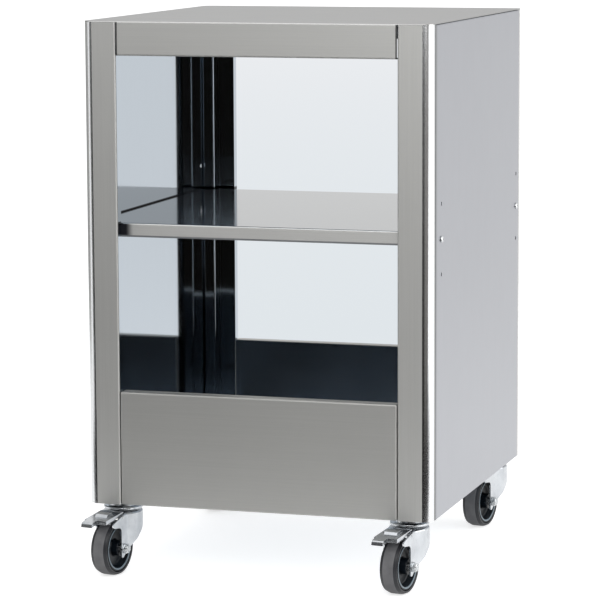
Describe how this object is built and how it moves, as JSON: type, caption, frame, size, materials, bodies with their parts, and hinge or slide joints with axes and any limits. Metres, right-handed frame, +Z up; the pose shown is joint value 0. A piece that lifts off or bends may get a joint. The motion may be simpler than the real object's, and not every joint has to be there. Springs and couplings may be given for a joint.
{
  "type": "open mobile holding cabinet",
  "caption": "Open stainless-steel holding cabinet with a fixed middle shelf, rolling on swivel casters, the front ones with brake pedals.",
  "frame": {"origin": "on the floor, at the middle of the whole footprint with the casters as they stand", "axes": "+Z up from the floor, -Y out of the open front above the braked casters, +X to the right as seen from the front"},
  "size_m": [0.5218, 0.606, 0.804],
  "materials": {
    "satin_stainless": "satin stainless sheet",
    "bright_stainless": "bright stainless sheet",
    "zinc_plate": "bright zinc plate",
    "wheel_plastic": "near-black moulded nylon",
    "tyre_rubber": "matt grey rubber"
  },
  "bodies": {
    "cabinet": {"top_panel": "satin_stainless", "front_apron": "satin_stainless", "rear_apron": "satin_stainless", "base_panel": "satin_stainless", "shelf": "bright_stainless", "left_side_panel": "satin_stainless", "right_side_panel": "satin_stainless", "left_stiffener": "satin_stainless", "right_stiffener": "satin_stainless", "front_left_post": "satin_stainless", "front_right_post": "satin_stainless", "rear_left_post": "satin_stainless", "rear_right_post": "satin_stainless", "front_left_shelf_screw": "zinc_plate", "front_left_shelf_nut": "zinc_plate", "front_left_stud_nut": "zinc_plate", "front_left_head": "zinc_plate", "front_right_shelf_screw": "zinc_plate", "front_right_shelf_nut": "zinc_plate", "front_right_stud_nut": "zinc_plate", "front_right_head": "zinc_plate", "rear_left_shelf_screw": "zinc_plate", "rear_left_shelf_nut": "zinc_plate", "rear_left_stud_nut": "zinc_plate", "rear_left_head": "zinc_plate", "rear_right_shelf_screw": "zinc_plate", "rear_right_shelf_nut": "zinc_plate", "rear_right_stud_nut": "zinc_plate", "rear_right_head": "zinc_plate"},
    "front_left_swivel": {"front_left_fork": "zinc_plate", "front_left_bearing": "zinc_plate", "front_left_axle": "zinc_plate", "front_left_sleeve": "zinc_plate", "front_left_pedal_pin": "zinc_plate"},
    "front_left_roller": {"front_left_wheel": "wheel_plastic", "front_left_tyre": "tyre_rubber"},
    "front_left_brake": {"front_left_pedal": "zinc_plate"},
    "front_right_swivel": {"front_right_fork": "zinc_plate", "front_right_bearing": "zinc_plate", "front_right_axle": "zinc_plate", "front_right_sleeve": "zinc_plate", "front_right_pedal_pin": "zinc_plate"},
    "front_right_roller": {"front_right_wheel": "wheel_plastic", "front_right_tyre": "tyre_rubber"},
    "front_right_brake": {"front_right_pedal": "zinc_plate"},
    "rear_left_swivel": {"rear_left_fork": "zinc_plate", "rear_left_bearing": "zinc_plate", "rear_left_axle": "zinc_plate", "rear_left_sleeve": "zinc_plate"},
    "rear_left_roller": {"rear_left_wheel": "wheel_plastic", "rear_left_tyre": "tyre_rubber"},
    "rear_right_swivel": {"rear_right_fork": "zinc_plate", "rear_right_bearing": "zinc_plate", "rear_right_axle": "zinc_plate", "rear_right_sleeve": "zinc_plate"},
    "rear_right_roller": {"rear_right_wheel": "wheel_plastic", "rear_right_tyre": "tyre_rubber"}
  },
  "joints": [
    {"name": "front_left_swivel_turn", "type": "hinge", "parent": "cabinet", "child": "front_left_swivel", "pos_m": [-0.217, -0.2085, 0.09], "axis": [0, 0, 1], "continuous": true},
    {"name": "front_left_wheel_roll", "type": "hinge", "parent": "front_left_swivel", "child": "front_left_roller", "pos_m": [-0.2229, -0.24198, 0.04], "axis": [0.9848, -0.1736, 0], "continuous": true},
    {"name": "front_left_brake_press", "type": "hinge", "parent": "front_left_swivel", "child": "front_left_brake", "pos_m": [-0.2236, -0.24592, 0.0865], "axis": [0.9848, -0.1736, 0], "range_deg": [0, 10]},
    {"name": "front_right_swivel_turn", "type": "hinge", "parent": "cabinet", "child": "front_right_swivel", "pos_m": [0.217, -0.2085, 0.09], "axis": [0, 0, 1], "continuous": true},
    {"name": "front_right_wheel_roll", "type": "hinge", "parent": "front_right_swivel", "child": "front_right_roller", "pos_m": [0.2111, -0.24198, 0.04], "axis": [0.9848, -0.1736, 0], "continuous": true},
    {"name": "front_right_brake_press", "type": "hinge", "parent": "front_right_swivel", "child": "front_right_brake", "pos_m": [0.2104, -0.24592, 0.0865], "axis": [0.9848, -0.1736, 0], "range_deg": [0, 10]},
    {"name": "rear_left_swivel_turn", "type": "hinge", "parent": "cabinet", "child": "rear_left_swivel", "pos_m": [-0.217, 0.2685, 0.09], "axis": [0, 0, 1], "continuous": true},
    {"name": "rear_left_wheel_roll", "type": "hinge", "parent": "rear_left_swivel", "child": "rear_left_roller", "pos_m": [-0.2229, 0.23502, 0.04], "axis": [0.9848, -0.1736, 0], "continuous": true},
    {"name": "rear_right_swivel_turn", "type": "hinge", "parent": "cabinet", "child": "rear_right_swivel", "pos_m": [0.217, 0.2685, 0.09], "axis": [0, 0, 1], "continuous": true},
    {"name": "rear_right_wheel_roll", "type": "hinge", "parent": "rear_right_swivel", "child": "rear_right_roller", "pos_m": [0.2111, 0.23502, 0.04], "axis": [0.9848, -0.1736, 0], "continuous": true}
  ]
}
